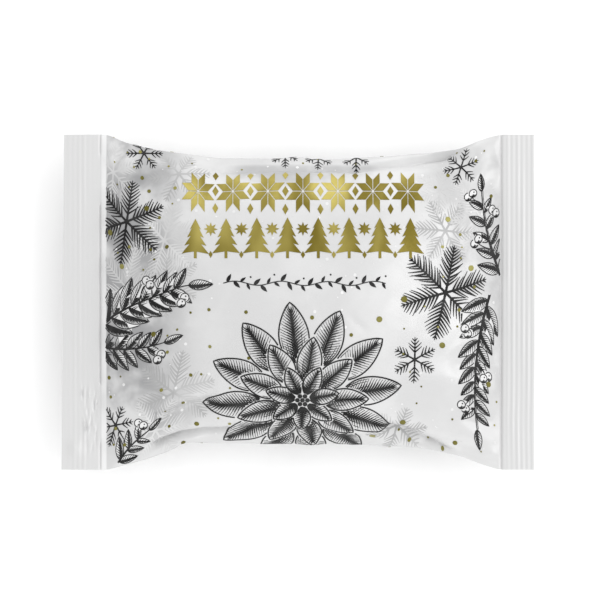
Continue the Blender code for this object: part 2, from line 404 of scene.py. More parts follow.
def make_fin(rows, material):
    """Lay the lengthwise seam along the underside: folded flat, ribbed, with a cut edge."""
    share = np.linspace(0.0, 1.0, FIN_LINES)
    ribs = np.cos(math.pi * FIN_RIBS * share) ** 2 * ease(share * 8.0) * ease((1.0 - share) * 8.0)
    fold = np.exp(-(share * FIN_WIDTH / 0.5) ** 2)
    rings = []
    for index, row in enumerate(rows[:, :LINES - 1:-1]):
        y = -FIN_WIDTH * share + FIN_WAVE * math.sin(index * 0.021) * share
        x = np.interp(y, row[:, 1], row[:, 0])
        z = np.interp(y, row[:, 1], row[:, 2])
        outer = z - FIN_THICKNESS * (0.55 + 0.3 * ribs + 0.12 * fold)
        inner = z - FIN_GAP
        rings.append(np.vstack((np.column_stack((x, y, outer)), np.column_stack((x, y, inner))[::-1])))
    rings = np.array(rings)
    count, around = rings.shape[:2]
    faces = [tuple(range(around)), tuple((count - 1) * around + step for step in reversed(range(around)))]
    for row in range(count - 1):
        for step in range(around):
            after = (step + 1) % around
            faces.append((row * around + step, (row + 1) * around + step,
                          (row + 1) * around + after, row * around + after))
    fin = new_piece("fin_seam", rings.reshape(-1, 3), faces, material)
    fin.data.set_sharp_from_angle(angle=math.radians(50))


# ---------------------------------------------------------------- the print

INK_LIFT = {"grey": 0.022, "pale": 0.027, "white": 0.032, "frost": 0.055, "leaves": 0.062,
            "flower": 0.062, "gold": 0.072, "dots": 0.072}
INK_ROOT = 0.02                 # how far the print reaches down into the film
PRINT_START = 1.75              # bare film between the left fold and the print
PRINT_STOP = 0.7
STROKE_STEP = 0.5               # longest straight piece of a stroke
MASK_MARGIN = 1.1               # bare gap round a shape that hides what is behind it
PATCH_STEP = 0.45               # spacing of the points inside a filled shape
FRIEZE_LEFT = -24.6
FRIEZE_LENGTH = 51.4
STAR_ROW = 23.3
FIR_ROW = 9.2


class FilmMap:
    """Finds the place in space of a point (p, g) of the film."""

    def __init__(self, rows):
        left_steps = round(LEFT_SEAL_NEAR / CRIMP_PITCH * STATIONS_PER_PITCH)
        body = rows[left_steps:left_steps + BODY_STATIONS + 1]
        self.grid = np.concatenate((body, body[:, :1]), axis=1)
        across = np.roll(body, -1, axis=1) - np.roll(body, 1, axis=1)
        along = np.gradient(body, axis=0)
        normals = np.cross(along, across)
        normals /= np.linalg.norm(normals, axis=2, keepdims=True)
        self.normals = np.concatenate((normals, normals[:, :1]), axis=1)
        cell = FLAT_WIDTH / (LINES - 1)
        front = np.linspace(-FLAT_WIDTH / 2, FLAT_WIDTH / 2, LINES)
        self.g = np.concatenate((front, front + FLAT_WIDTH + cell, [1.5 * FLAT_WIDTH + 2 * cell]))
        self.girth = self.g[-1] - self.g[0]
        steps = np.linalg.norm(np.diff(body[:, :LINES], axis=0), axis=2).mean(axis=1)
        self.p = np.concatenate(([0.0], np.cumsum(steps)))
        self.x = body[:, 0, 0]
        self.length = self.p[-1]

    def place(self, points, lift):
        """Give the place of each point (p, g), lifted off the film."""
        p = np.clip(points[:, 0], 0.0, self.length)
        g = (points[:, 1] - self.g[0]) % self.girth + self.g[0]
        row = np.clip(np.searchsorted(self.p, p) - 1, 0, len(self.p) - 2)
        step = np.clip(np.searchsorted(self.g, g) - 1, 0, len(self.g) - 2)
        a = ((p - self.p[row]) / (self.p[row + 1] - self.p[row]))[:, None]
        b = ((g - self.g[step]) / (self.g[step + 1] - self.g[step]))[:, None]

        def blend(grid):
            return ((1 - a) * (1 - b) * grid[row, step] + a * (1 - b) * grid[row + 1, step]
                    + (1 - a) * b * grid[row, step + 1] + a * b * grid[row + 1, step + 1])

        normal = blend(self.normals)
        normal /= np.linalg.norm(normal, axis=1, keepdims=True)
        return blend(self.grid) + lift * normal

    def under(self, x, y):
        """Give the point (p, g) of the front that lies at x and y, seen from above."""
        row = np.interp(x, self.x, np.arange(len(self.x)))
        line = self.grid[round(float(row)), :LINES, 1]
        return np.array((np.interp(row, np.arange(len(self.p)), self.p),
                         np.interp(y, line, self.g[:LINES])))


class Print:
    """One colour of print, gathered as flat shapes on the film and then built as raised ink."""

    def __init__(self, film_map, masks, backing=None):
        self.map = film_map
        self.masks = masks
        self.backing = backing
        self.points = []
        self.faces = []
        self.count = 0

    def add(self, points, faces):
        points = np.asarray(points, float)
        self.points.append(points)
        self.faces += [tuple(index + self.count for index in face) for face in faces]
        self.count += len(points)

    def visible(self, path):
        """Split a path into its runs inside the printed area."""
        inside = (path[:, 0] >= PRINT_START) & (path[:, 0] <= self.map.length - PRINT_STOP)
        runs = np.split(np.arange(len(path)), np.flatnonzero(np.diff(inside.astype(int))) + 1)
        return [run for run in runs if inside[run[0]] and len(run) > 1]

    def mask(self, outline):
        """Keep what is drawn later behind an outline."""
        outline = np.asarray(outline)
        if self.backing:
            self.backing.patch(outline)
        middle = (outline.min(axis=0) + outline.max(axis=0)) / 2
        outline = middle + (outline - middle) * MASK_MARGIN
        self.masks.append((outline, outline.min(axis=0), outline.max(axis=0)))

    def hidden(self, path):
        """Say which points of a path lie behind what is already drawn."""
        covered = np.zeros(len(path), bool)
        low, high = path.min(axis=0), path.max(axis=0)
        for outline, mask_low, mask_high in self.masks:
            if np.all(low < mask_high) and np.all(high > mask_low):
                covered |= within(path, outline)
        return covered

    def stroke(self, path, start_width, end_width=None, closed=False):
        """Add a line along a path, its width going from one value to the other."""
        end_width = start_width if end_width is None else end_width
        path = np.asarray(path, float)
        if closed:
            path = np.vstack((path, path[:1]))
        path = resampled(path)
        tangent = np.gradient(path, axis=0)
        tangent /= np.linalg.norm(tangent, axis=1, keepdims=True) + 1e-12
        if closed:
            tangent[0] = tangent[-1] = tangent[0] + tangent[-1]
            tangent[0] /= np.linalg.norm(tangent[0]) + 1e-12
            tangent[-1] = tangent[0]
        width = np.linspace(start_width, end_width, len(path))[:, None] / 2
        aside = np.column_stack((-tangent[:, 1], tangent[:, 0])) * width
        keep = ~self.hidden(path)
        for run in self.visible(path):
            for part in np.split(run, np.flatnonzero(np.diff(keep[run].astype(int))) + 1):
                scrap = len(part) < 4 and len(part) < len(path)
                if len(part) < 2 or scrap or not keep[part[0]]:
                    continue
                n = len(part)
                points = np.vstack((path[part] - aside[part], path[part] + aside[part]))
                self.add(points, [(i, i + 1, n + i + 1, n + i) for i in range(n - 1)])

    def patch(self, outline):
        """Fill an outline."""
        outline = resampled(np.vstack((outline, outline[:1])))[:-1]
        if outline[:, 0].min() < PRINT_START or outline[:, 0].max() > self.map.length - PRINT_STOP:
            return
        low, high = outline.min(axis=0), outline.max(axis=0)
        across, along = np.meshgrid(np.arange(low[0] + PATCH_STEP / 2, high[0], PATCH_STEP),
                                    np.arange(low[1] + PATCH_STEP / 2, high[1], PATCH_STEP))
        inner = np.column_stack((across.ravel(), along.ravel()))
        if len(inner):
            inner = inner[within(inner, outline) & (edge_distance(inner, outline) > PATCH_STEP / 4)]
        points = [Vector(point) for point in np.vstack((outline, inner))]
        result = delaunay_2d_cdt(points, [], [list(range(len(outline)))], 1, 1e-7)
        self.add([tuple(point) for point in result[0]], [tuple(face) for face in result[2]])

    def build(self, name, lift, material):
        """Raise the gathered shapes into closed ink that stands in the film."""
        flat = np.vstack(self.points)
        total = len(flat)
        points = np.vstack((self.map.place(flat, lift), self.map.place(flat, -INK_ROOT)))
        faces = []
        edges = {}
        for face in self.faces:
            corners = flat[list(face)]
            turn = np.roll(corners, -1, axis=0)
            if np.sum(corners[:, 0] * turn[:, 1] - turn[:, 0] * corners[:, 1]) < 0:
                face = face[::-1]
            faces.append(face)
            faces.append(tuple(index + total for index in reversed(face)))
            for start, end in zip(face, face[1:] + face[:1]):
                if (end, start) in edges:
                    del edges[end, start]
                else:
                    edges[start, end] = True
        faces += [(end, start, start + total, end + total) for start, end in edges]
        piece = new_piece(name, points, faces, material)
        piece.data.set_sharp_from_angle(angle=math.radians(50))
        return piece


def resampled(path):
    """Cut the straight pieces of a path so that none is longer than a stroke's step."""
    points = []
    for start, end in zip(path[:-1], path[1:]):
        pieces = max(1, math.ceil(np.linalg.norm(end - start) / STROKE_STEP))
        points += [start + (end - start) * piece / pieces for piece in range(pieces)]
    return np.array(points + [path[-1]])


def within(points, outline):
    """Say which points lie inside an outline."""
    inside = np.zeros(len(points), bool)
    for start, end in zip(outline, np.roll(outline, -1, axis=0)):
        crosses = (start[1] > points[:, 1]) != (end[1] > points[:, 1])
        with np.errstate(divide="ignore", invalid="ignore"):
            reach = start[0] + (points[:, 1] - start[1]) / (end[1] - start[1]) * (end[0] - start[0])
        inside ^= crosses & (points[:, 0] < reach)
    return inside


def edge_distance(points, outline):
    """Give each point's distance to the nearest corner of a resampled outline."""
    return np.sqrt(((points[:, None] - outline[None]) ** 2).sum(axis=2)).min(axis=1)


def direction(angle):
    return np.array((math.cos(angle), math.sin(angle)))


def turned(points, angle, centre=(0.0, 0.0), size=1.0):
    """Turn, scale and shift a small design drawn round its own origin."""
    cos, sin = math.cos(angle), math.sin(angle)
    return np.asarray(points, float) * size @ np.array(((cos, sin), (-sin, cos))) + centre


def arc_path(start, angle, length, bend, pieces=12):
    """Give a path that sets out at an angle and turns evenly by bend over its length."""
    headings = angle + bend * (np.arange(pieces) + 0.5) / pieces
    steps = np.column_stack((np.cos(headings), np.sin(headings))) * length / pieces
    return np.vstack(([start], start + np.cumsum(steps, axis=0)))


def at_share(path, share):
    """Give the point and heading at a share of the length of a path."""
    place = share * (len(path) - 1)
    index = min(int(place), len(path) - 2)
    run = path[index + 1] - path[index]
    return path[index] + run * (place - index), math.atan2(run[1], run[0])


def frost_arm(ink, centre, angle, length, barb, rng, weight):
    """Draw one arm of a frost star: a spine with needle-like barbs."""
    spine = arc_path(centre, angle, length, rng.uniform(-0.06, 0.06), 10)
    ink.stroke(spine, 0.5 * weight, 0.16 * weight)
    count = round(length / 0.85)
    for index in range(2, count):
        share = index / count
        root, heading = at_share(spine, share)
        reach = barb * math.sin(math.pi * min(1.0, 0.16 + share * 0.86)) ** 0.8 * rng.uniform(0.85, 1.1)
        for side in (1, -1):
            lean = side * rng.uniform(0.82, 0.98)
            needle = arc_path(root, heading + lean, reach, -side * rng.uniform(0.1, 0.3), 4)
            ink.stroke(needle, 0.44 * weight, 0.1)


def frost_star(ink, centre, radius, angle, rng, weight=1.0, barb_share=0.36):
    """Draw a six-armed frost star."""
    for arm in range(6):
        frost_arm(ink, centre, angle + arm * math.pi / 3, radius * rng.uniform(0.95, 1.03),
                  radius * barb_share, rng, weight)


def leaf(ink, root, angle, length, half_width, rng):
    """Draw one pointed leaf in front of what comes later: outline, midrib and hatching."""
    share = np.linspace(0.0, 1.0, 13)
    spread = half_width * np.sin(math.pi * share ** 0.8) ** 0.9
    upper = np.column_stack((share * length, spread))
    lower = np.column_stack((share * length, -spread))[::-1][1:-1]
    outline = turned(np.vstack((upper, lower)), angle, root)
    ink.stroke(outline, 0.2, closed=True)
    ink.stroke(turned([(0, 0), (length * 0.92, 0)], angle, root), 0.26, 0.08)
    strokes = round(length / 0.62)
    for side, crowding, width in ((1, 1, 0.24), (-1, 2, 0.4)):
        for index in range(strokes * crowding):
            at = 0.05 + 0.86 * index / (strokes * crowding)
            far = min(0.98, at + 0.15)
            reach = np.interp(far, share, spread) * rng.uniform(0.8, 0.97)
            ink.stroke(turned([(at * length, 0), (far * length, side * reach)], angle, root),
                       width, 0.06)
    ink.mask(outline)


def berry(ink, centre, radius):
    """Draw a round berry in front of what comes later: outline, eye and a hatched shaded side."""
    ring = np.array([direction(turn) * radius for turn in np.linspace(0, 2 * math.pi, 17)[:-1]]) + centre
    ink.stroke(ring, 0.2, closed=True)
    disc(ink, centre + (0.25 * radius, 0.3 * radius), radius * 0.18)
    for index in range(5):
        size = radius * (0.86 - 0.15 * index)
        bow = [direction(turn) * size for turn in np.linspace(-2.4 + 0.2 * index, -0.3 - 0.2 * index, 7)]
        ink.stroke(np.array(bow) + centre, 0.19, 0.06)
    ink.mask(ring)


def sprig(ink, root, angle, length, bend, pairs, leaf_length, rng, berries=()):
    """Draw a bending stem with leaves to both sides, one at its tip, and berries on stalks."""
    stem = arc_path(root, angle, length, bend, 16)
    for share, side, stalk in berries:
        start, heading = at_share(stem, share)
        twig = arc_path(start, heading + side * 1.1, stalk, -side * 0.5, 6)
        for lean in (-0.9, 0.5):
            berry(ink, twig[-1] + direction(heading + side * 0.6 + lean) * 1.05, 0.95)
        ink.stroke(twig, 0.26, 0.16)
    ink.stroke(stem + (0.32, 0.1), 0.16, 0.1)
    ink.stroke(stem, 0.55, 0.2)
    tip, heading = at_share(stem, 1.0)
    leaf(ink, tip, heading, leaf_length * 0.7, leaf_length * 0.14, rng)
    for index in reversed(range(pairs)):
        share = 0.06 + 0.9 * index / pairs
        for side in (1, -1):
            start, heading = at_share(stem, share + 0.02 * side)
            size = leaf_length * (1.05 - 0.42 * share) * rng.uniform(0.9, 1.08)
            leaf(ink, start, heading + side * rng.uniform(0.68, 0.92), size, size * 0.2, rng)


class Petal:
    """A pointed petal, from its root out to its tip."""

    def __init__(self, centre, angle, start, length, half_width):
        self.centre, self.angle, self.start = np.asarray(centre), angle, start
        self.length, self.half_width = length, half_width

    def place(self, along, aside):
        """Give the film point at shares of the petal's length and of its half width."""
        along, aside = np.asarray(along, float), np.asarray(aside, float)
        spread = self.half_width * np.sin(math.pi * np.clip(along, 0.0, 1.0) ** 0.85) ** 0.75
        points = np.column_stack((self.start + along * self.length, aside * spread))
        return turned(points, self.angle, self.centre)

    def draw(self, ink, rng):
        """Draw the petal in front of what comes later: outline, veins and shading at its root."""
        share = np.concatenate((np.linspace(0.02, 1.0, 18), np.linspace(0.94, 0.02, 16)))
        outline = self.place(share, np.concatenate((np.ones(18), -np.ones(16))))
        ink.stroke(outline, 0.3)
        ink.stroke(self.place(np.linspace(0.0, 0.93, 10), np.zeros(10)), 0.36, 0.09)
        veins = round(self.length / 0.72)
        for index in range(veins):
            at = 0.08 + 0.8 * index / veins
            for side in (1, -1):
                out = np.linspace(0.0, rng.uniform(0.8, 0.93), 6)
                ink.stroke(self.place(at + 0.17 * out ** 0.8, side * out), 0.22, 0.07)
                out = out * rng.uniform(0.45, 0.7)
                ink.stroke(self.place(at + 0.4 / veins + 0.15 * out ** 0.8, side * out), 0.17, 0.06)
        for index in range(11):
            reach = rng.uniform(0.22, 0.5)
            aside = -0.86 + 1.72 * index / 10
            ink.stroke(self.place(np.linspace(0.02, reach, 4), np.full(4, aside)), 0.34, 0.06)
        ink.mask(outline)


def flower(ink, centre, rings, rng):
    """Draw a many-petalled winter flower, from its heart out."""
    for index in range(7):
        spot = centre + (direction(index * math.pi / 3) * 1.05 if index else 0)
        disc(ink, spot, 0.5)
        ink.mask(np.array([direction(turn) * 0.55 for turn in np.linspace(0, 6.28, 9)[:-1]]) + spot)
    for count, start, length, half_width, turn in rings:
        for index in range(count):
            size = length * rng.uniform(0.94, 1.06)
            Petal(centre, turn + 2 * math.pi * index / count, start, size, half_width).draw(ink, rng)


def garland(ink, start, length, height):
    """Draw a thin wavy stem with small solid leaves and dots along it."""
    waves = 3.5
    share = np.linspace(0.0, 1.0, 60)
    path = np.column_stack((share * length, np.sin(share * waves * 2 * math.pi) * height * 0.12)) + start
    ink.stroke(path, 0.2, 0.2)
    leaves = 24
    for index in range(leaves):
        root, heading = at_share(path, (index + 0.5) / leaves)
        side = 1 if index % 2 == 0 else -1
        size = height * (0.55 if index % 4 < 2 else 0.42)
        along = np.linspace(0.0, 1.0, 7)
        spread = size * 0.2 * np.sin(math.pi * along ** 0.8)
        blade = np.vstack((np.column_stack((along * size, spread)),
                           np.column_stack((along * size, -spread))[::-1][1:-1]))
        ink.patch(turned(blade, heading + side * 0.85, root))
        if index % 4 == 3:
            disc(ink, root + direction(heading - side * 1.3) * height * 0.42, 0.2)


def star_outline(points, outer, inner, turn=math.pi / 2):
    """List the corners of a pointed star."""
    return np.array([direction(turn + math.pi * index / points) * (outer if index % 2 == 0 else inner)
                     for index in range(2 * points)])


def lozenge(width, height):
    return np.array(((width / 2, 0), (0, height / 2), (-width / 2, 0), (0, -height / 2)))


def quilted_star(ink, centre, reach, stretch, gap=0.1):
    """Draw the eight-pointed star of old knitting and quilts, from eight leaning lozenges."""
    side = reach / (2 * math.cos(math.pi / 8))
    for index in range(8):
        first = direction(index * math.pi / 4 + math.pi / 8 - math.pi / 8) * side
        second = direction(index * math.pi / 4 + math.pi / 4) * side
        corners = np.array(((0, 0), first, first + second, second))
        middle = corners.mean(axis=0)
        ink.patch(((corners - middle) * (1 - gap) + middle) * (1.0, stretch) + centre)


def fir(ink, foot, height, width):
    """Draw a stepped fir tree with a short trunk."""
    tiers = 4
    trunk = height * 0.12
    rise = (height - trunk) / (tiers + 0.35)
    side = [(0.3, 0.0), (0.3, trunk + 0.4)]
    for tier in range(tiers):
        half = width / 2 * (1 - 0.2 * tier)
        side += [(half, trunk + rise * tier)]
        if tier < tiers - 1:
            side += [(half * 0.42, trunk + rise * (tier + 1) + 0.3)]
    side += [(0.0, height)]
    outline = side + [(-x, y) for x, y in side[-2::-1]]
    ink.patch(np.array(outline) + foot)


def disc(ink, centre, radius):
    corners = max(8, round(20 * radius ** 0.5))
    ink.patch(np.array([direction(turn) * radius
                        for turn in np.linspace(0, 2 * math.pi, corners + 1)[:-1]]) + centre)


def gold_friezes(ink, film_map):
    """Draw the two gold friezes: quilted stars above, firs and small stars below."""
    stars = 7
    pitch = FRIEZE_LENGTH / stars
    for index in range(stars):
        x = FRIEZE_LEFT + pitch * (index + 0.5)
        quilted_star(ink, film_map.under(x, STAR_ROW), 4.0, 1.42)
        if index < stars - 1:
            between = film_map.under(x + pitch / 2, STAR_ROW)
            for offset, size in ((0, 1.7), (4.2, 1.6), (-4.2, 1.6)):
                ink.patch(lozenge(size * 0.8, size * 1.5) + between + (0, offset))
    firs = 8
    pitch = FRIEZE_LENGTH / firs
    for index in range(firs):
        x = FRIEZE_LEFT + pitch * (index + 0.5)
        fir(ink, film_map.under(x, FIR_ROW), 8.7, 5.9)
        if index < firs - 1:
            between = film_map.under(x + pitch / 2, FIR_ROW + 3.6)
            ink.patch(star_outline(8, 1.5, 0.75) + between + (0, 2.6))
            ink.patch(lozenge(0.9, 1.5) + between + (0, -2.9))


def scatter(inks, film_map, rng):
    """Scatter gold dots and pale flecks over the whole tube, clear of the friezes."""
    frieze_low = film_map.under(FRIEZE_LEFT, FIR_ROW - 6.5) - 1.2
    frieze_high = film_map.under(FRIEZE_LEFT + FRIEZE_LENGTH, STAR_ROW + 4.2) + 1.2
    seam_low, seam_high = FLAT_WIDTH - 1.5, FLAT_WIDTH + FIN_WIDTH + 2.0
    placed = []
    for size, count, spacing in ((0.6, 40, 6.5), (0.38, 80, 3.6), (0.23, 125, 2.2)):
        made = 0
        while made < count:
            centre = np.array((rng.uniform(PRINT_START + 1, film_map.length - PRINT_STOP - 1),
                               rng.uniform(film_map.g[0], film_map.g[-1])))
            clear = not (np.all(centre > frieze_low) and np.all(centre < frieze_high))
            clear = clear and not seam_low < centre[1] < seam_high
            clear = clear and not inks["leaves"].hidden(centre[None])[0]
            if clear and all(np.hypot(*(centre - other)) > spacing for other in placed):
                placed.append(centre)
                disc(inks["dots"], centre, size * rng.uniform(0.85, 1.15))
                made += 1
    for index in range(520):
        centre = np.array((rng.uniform(PRINT_START + 1, film_map.length - PRINT_STOP - 1),
                           rng.uniform(film_map.g[0], film_map.g[-1])))
        if not seam_low < centre[1] < seam_high:
            disc(inks["white"], centre, rng.choice((0.12, 0.16, 0.22, 0.34)))


def frost_fan(ink, root, angle, length, rng):
    """Draw a small fan of three frost arms."""
    for lean, size in ((0.0, 1.0), (0.8, 0.8), (-0.8, 0.8)):
        frost_arm(ink, root, angle + lean, length * size, length * 0.3, rng, 0.75)


def print_packet(film_map):
    """Lay out the whole print, front to back."""
    rng = random.Random(7)
    masks = []
    inks = {name: Print(film_map, []) for name in ("grey", "pale", "white", "gold", "dots")}
    inks["flower"] = Print(film_map, masks)
    inks["leaves"] = Print(film_map, masks, inks["white"])
    inks["frost"] = Print(film_map, masks)
    leaves, frost = inks["leaves"], inks["frost"]
    at = film_map.under
    flower(inks["flower"], at(1.0, -20.5),
           ((7, 1.5, 6.4, 1.8, 0.2), (9, 4.2, 9.8, 2.55, 0.0), (12, 8.0, 12.8, 3.15, 0.13)), rng)
    sprig(leaves, at(-41.5, -5.0), 0.6, 23.0, -0.5, 8, 7.6, rng, ((0.5, 1, 4.0), (0.8, -1, 3.4)))
    sprig(leaves, at(-41.5, -9.5), -0.1, 16.0, 0.3, 5, 6.2, rng, ((0.75, -1, 3.0),))
    sprig(leaves, at(-38.0, -34.0), 0.85, 10.0, -0.3, 3, 4.8, rng, ((0.7, 1, 2.6),))
    sprig(leaves, at(40.5, 1.5), -1.95, 30.0, 0.55, 9, 6.6, rng,
          ((0.2, -1, 3.8), (0.5, 1, 3.4), (0.75, -1, 3.0)))
    sprig(leaves, at(43.0, 5.0), 2.1, 20.0, -0.5, 5, 5.8, rng,
          ((0.35, 1, 3.6), (0.6, -1, 3.2), (0.85, 1, 3.2)))
    frost_star(frost, at(-36.0, 17.0), 9.6, 0.35, rng, 1.1)
    frost_star(frost, at(-32.5, 31.5), 4.5, 0.1, rng, 0.8)
    frost_star(frost, at(31.0, 2.0), 10.8, 0.3, rng, 1.15)
    frost_star(frost, at(34.5, 28.5), 4.5, 0.2, rng, 0.8)
    frost_star(frost, at(24.5, -12.0), 5.0, 0.5, rng, 0.8)
    frost_star(frost, at(-38.5, -26.0), 4.8, 0.1, rng, 0.8)
    for x, y in ((-2.6, 31.6), (4.4, 31.8), (12.4, 31.4)):
        frost_fan(frost, at(x, y), -1.6, 4.6, rng)
    for x, y, radius, angle in ((-25.0, 27.0, 7.0, 0.1), (-26.0, -19.0, 9.5, 0.3), (-27.5, 4.0, 7.5, 0.5),
                                (31.0, 15.0, 7.5, 0.0), (21.0, -26.0, 7.0, 0.2)):
        frost_star(inks["grey"], at(x, y), radius, angle, rng, 0.95)
    for x, y, radius, angle in ((-28.0, 13.0, 8.5, 0.2), (-39.0, 27.5, 7.0, 0.45), (-30.0, -27.0, 8.5, 0.0),
                                (-36.0, 3.0, 8.5, 0.3), (38.5, 18.0, 8.0, 0.1), (30.0, 23.5, 6.0, 0.4)):
        frost_star(inks["pale"], at(x, y), radius, angle, rng, 0.95)
    garland(frost, at(-15.5, 4.0), 34.0, 3.6)
    gold_friezes(inks["gold"], film_map)
    print_back(inks, rng)
    scatter(inks, film_map, rng)
    return inks


def print_back(inks, rng):
    """Carry the print over to the underside, clear of the seam."""
    back = FLAT_WIDTH
    for p, g, angle, length in ((5.0, back - 27.0, 0.6, 22.0), (80.0, back - 24.0, 2.5, 20.0),
                                (6.0, back + 30.0, -0.5, 16.0), (79.0, back + 29.0, -2.7, 18.0)):
        sprig(inks["leaves"], np.array((p, g)), angle, length, -0.4, 7, 7.0, rng,
              ((0.5, 1, 3.8), (0.8, -1, 3.4)))
    for p, g, radius in ((43.0, back - 21.0, 10.0), (44.0, back + 25.0, 9.0), (25.0, back + 19.5, 5.5),
                         (62.0, back - 13.5, 6.0), (12.0, back - 11.0, 5.5), (66.0, back + 19.0, 5.0)):
        frost_star(inks["frost"], np.array((p, g)), radius, p, rng, 0.95)
    for p, g, radius in ((28.0, back - 15.0, 8.0), (60.0, back + 27.0, 7.5), (14.0, back + 21.0, 6.5)):
        frost_star(inks["grey"], np.array((p, g)), radius, g, rng, 0.95)


def looks_of(name, roughness, metallic=0.0, specular=0.5):
    """Start a material and give its nodes, links and shader."""
    material = bpy.data.materials.new(name)
    material.use_nodes = True
    nodes, links = material.node_tree.nodes, material.node_tree.links
    shader = nodes["Principled BSDF"]
    shader.inputs["Roughness"].default_value = roughness
    shader.inputs["Metallic"].default_value = metallic
    shader.inputs["Specular IOR Level"].default_value = specular
    return material, nodes, links, shader


def noise(nodes, links, place, scale, detail=3.0, roughness=0.5):
    node = nodes.new("ShaderNodeTexNoise")
    node.inputs["Scale"].default_value = scale
    node.inputs["Detail"].default_value = detail
    node.inputs["Roughness"].default_value = roughness
    links.new(place, node.inputs["Vector"])
    return node.outputs["Fac"]


def spread(nodes, links, value, low, high, to_low=0.0, to_high=1.0):
    """Map a value from one range to another, smoothly and held at both ends."""
    node = nodes.new("ShaderNodeMapRange")
    node.interpolation_type = "SMOOTHSTEP"
    for socket, number in (("From Min", low), ("From Max", high), ("To Min", to_low), ("To Max", to_high)):
        node.inputs[socket].default_value = number
    links.new(value, node.inputs["Value"])
    return node.outputs["Result"]


def joined(nodes, links, operation, first, second):
    node = nodes.new("ShaderNodeMath")
    node.operation = operation
    links.new(first, node.inputs[0])
    links.new(second, node.inputs[1])
    return node.outputs[0]


def blended(nodes, links, share, first, second):
    """Mix two colours, each a colour or another node's output."""
    node = nodes.new("ShaderNodeMix")
    node.data_type = "RGBA"
    links.new(share, node.inputs["Factor"])
    for socket, colour in (("A", first), ("B", second)):
        target = next(one for one in node.inputs if one.name == socket and one.type == "RGBA")
        if isinstance(colour, tuple):
            target.default_value = (*colour, 1.0)
        else:
            links.new(colour, target)
    return next(one for one in node.outputs if one.type == "RGBA")


def bump(nodes, links, shader, height, strength, distance):
    node = nodes.new("ShaderNodeBump")
    node.inputs["Strength"].default_value = strength
    node.inputs["Distance"].default_value = distance
    links.new(height, node.inputs["Height"])
    links.new(node.outputs["Normal"], shader.inputs["Normal"])


def film_material():
    """Make the satin white film, with grey clouds printed towards its left end, painted shade in a band
    inside the top rim and a painted highlight in a strip by the left fold.
    """
    material, nodes, links, shader = looks_of("film", 0.38, 0.18)
    place = nodes.new("ShaderNodeTexCoord").outputs["Object"]
    split = nodes.new("ShaderNodeSeparateXYZ")
    links.new(place, split.inputs[0])
    x = split.outputs["X"]
    soft = noise(nodes, links, place, 70.0, 4.0, 0.55)
    clouds = spread(nodes, links, soft, 0.34, 0.58)
    left = spread(nodes, links, x, -0.019, -0.034, 0.13, 1.0)
    corner = spread(nodes, links, split.outputs["Y"], -0.034, -0.022, 0.15, 1.0)
    left = joined(nodes, links, "MULTIPLY", left, corner)
    right = spread(nodes, links, x, 0.018, 0.036, 0.0, 0.45)
    upper = spread(nodes, links, split.outputs["Y"], -0.014, 0.002, 0.0, 1.0)
    right = joined(nodes, links, "MULTIPLY", right, upper)
    # Painted shade: a darker band just inside the top rim over the middle of the front, where the rim groove
    # is shaded, broken up by the cloud noise.
    painted_rim_shade = joined(nodes, links, "MULTIPLY", spread(nodes, links, split.outputs["Y"], 0.0235, 0.026),
                        spread(nodes, links, split.outputs["Y"], 0.0296, 0.0284, 0.0, 0.62))
    painted_rim_shade = joined(nodes, links, "MULTIPLY", painted_rim_shade,
                        joined(nodes, links, "MULTIPLY", spread(nodes, links, x, -0.018, -0.010),
                               spread(nodes, links, x, 0.022, 0.012)))
    # From here on this mask holds the printed clouds at both ends and the painted shade inside the top rim.
    left = joined(nodes, links, "MAXIMUM", joined(nodes, links, "MAXIMUM", left, right), painted_rim_shade)
    printed = spread(nodes, links, x, (LEFT_FOLD + 1.1) * MM, (LEFT_FOLD + 1.5) * MM)
    ended = spread(nodes, links, x, (RIGHT_FOLD - 0.1) * MM, (RIGHT_FOLD - 0.5) * MM)
    share = joined(nodes, links, "MULTIPLY", joined(nodes, links, "MULTIPLY", clouds, left),
                   joined(nodes, links, "MULTIPLY", printed, ended))
    clouded_and_shaded = blended(nodes, links, share, FILM_WHITE, FILM_CLOUD_AND_SHADE)
    # Painted highlight: a lighter strip just beyond the left fold, where the film rising from the fold
    # catches the light; the right fold has none.
    beyond_fold = spread(nodes, links, x, (LEFT_FOLD + 0.1) * MM, (LEFT_FOLD + 0.35) * MM)
    before_print = spread(nodes, links, x, (LEFT_FOLD + 1.5) * MM, (LEFT_FOLD + 1.1) * MM)
    painted_highlight = joined(nodes, links, "MULTIPLY", beyond_fold, before_print)
    links.new(blended(nodes, links, painted_highlight, clouded_and_shaded, FILM_PAINTED_HIGHLIGHT), shader.inputs["Base Color"])
    links.new(spread(nodes, links, noise(nodes, links, place, 260.0, 3.0), 0.3, 0.7, 0.32, 0.46),
              shader.inputs["Roughness"])
    bump(nodes, links, shader, noise(nodes, links, place, 2600.0, 2.0), 0.12, 0.00004)
    return material


def ink_material(name, dark, light, scale, roughness, specular=0.5):
    """Make one printed ink, a little uneven in tone and sheen."""
    material, nodes, links, shader = looks_of(name, roughness, 0.0, specular)
    place = nodes.new("ShaderNodeTexCoord").outputs["Object"]
    tone = spread(nodes, links, noise(nodes, links, place, scale), 0.35, 0.65)
    links.new(blended(nodes, links, tone, dark, light), shader.inputs["Base Color"])
    links.new(spread(nodes, links, noise(nodes, links, place, 500.0), 0.3, 0.7, roughness - 0.08,
                     roughness + 0.08), shader.inputs["Roughness"])
    return material


